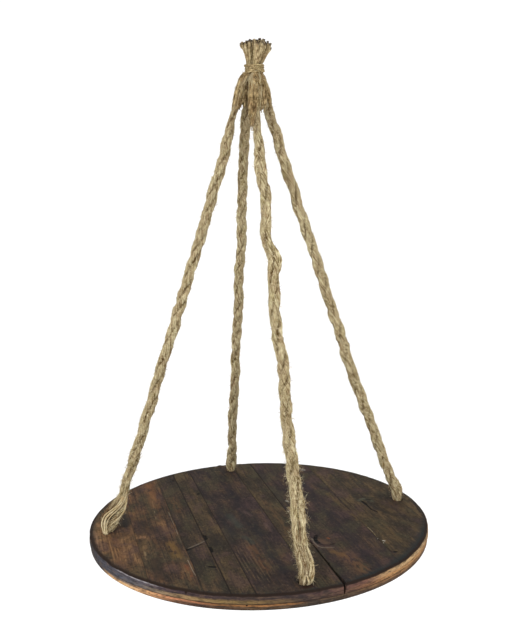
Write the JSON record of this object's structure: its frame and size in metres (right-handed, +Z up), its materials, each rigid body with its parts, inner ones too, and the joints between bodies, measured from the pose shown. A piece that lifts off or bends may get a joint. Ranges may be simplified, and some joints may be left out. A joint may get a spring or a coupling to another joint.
{
  "type": "hanging_shelf",
  "caption": "Round shelf board of reused dark planks, hung level in thick jute ropes that cross under it and are bound into one throat above",
  "frame": {"origin": "middle of the bound throat, where the ropes are gathered and the shelf is held up", "axes": "+Z up, +Y away from the viewer, +X to the viewer's right"},
  "size_m": [0.53, 0.53, 0.7866],
  "materials": {
    "plank_wood": "dark weathered oak, dry and worn, with lighter and warmer patches",
    "dowel_wood": "plain turned beech, unfinished",
    "jute_rope": "laid natural jute rope of three strands, dry and hairy",
    "jute_twine": "thin natural jute twine, dry and hairy"
  },
  "bodies": {
    "crown": {"rope_end_left": "jute_rope", "rope_end_back": "jute_rope", "rope_end_right": "jute_rope", "rope_end_front": "jute_rope"},
    "binding": {"binding_twine": "jute_twine"},
    "hung_shelf": {"rope_front_back": "jute_rope", "rope_left_right": "jute_rope", "plank_1": "plank_wood", "plank_2": "plank_wood", "plank_3": "plank_wood", "plank_4": "plank_wood", "plank_5": "plank_wood", "plank_6": "plank_wood", "plank_7": "plank_wood", "plank_8": "plank_wood", "dowel_1_back": "dowel_wood", "dowel_1_front": "dowel_wood", "dowel_2_back": "dowel_wood", "dowel_2_front": "dowel_wood", "dowel_3_back": "dowel_wood", "dowel_3_front": "dowel_wood", "dowel_4_back": "dowel_wood", "dowel_4_front": "dowel_wood", "dowel_5_back": "dowel_wood", "dowel_5_front": "dowel_wood", "dowel_6_back": "dowel_wood", "dowel_6_front": "dowel_wood", "dowel_7_back": "dowel_wood", "dowel_7_front": "dowel_wood"}
  },
  "joints": [
    {"name": "swing_fore_aft", "type": "hinge", "parent": "crown", "child": "binding", "pos_m": [0, 0, 0], "axis": [1, 0, 0], "range_deg": [-12, 12]},
    {"name": "swing_side", "type": "hinge", "parent": "binding", "child": "hung_shelf", "pos_m": [0, 0, 0], "axis": [0, 1, 0], "range_deg": [-12, 12]}
  ]
}
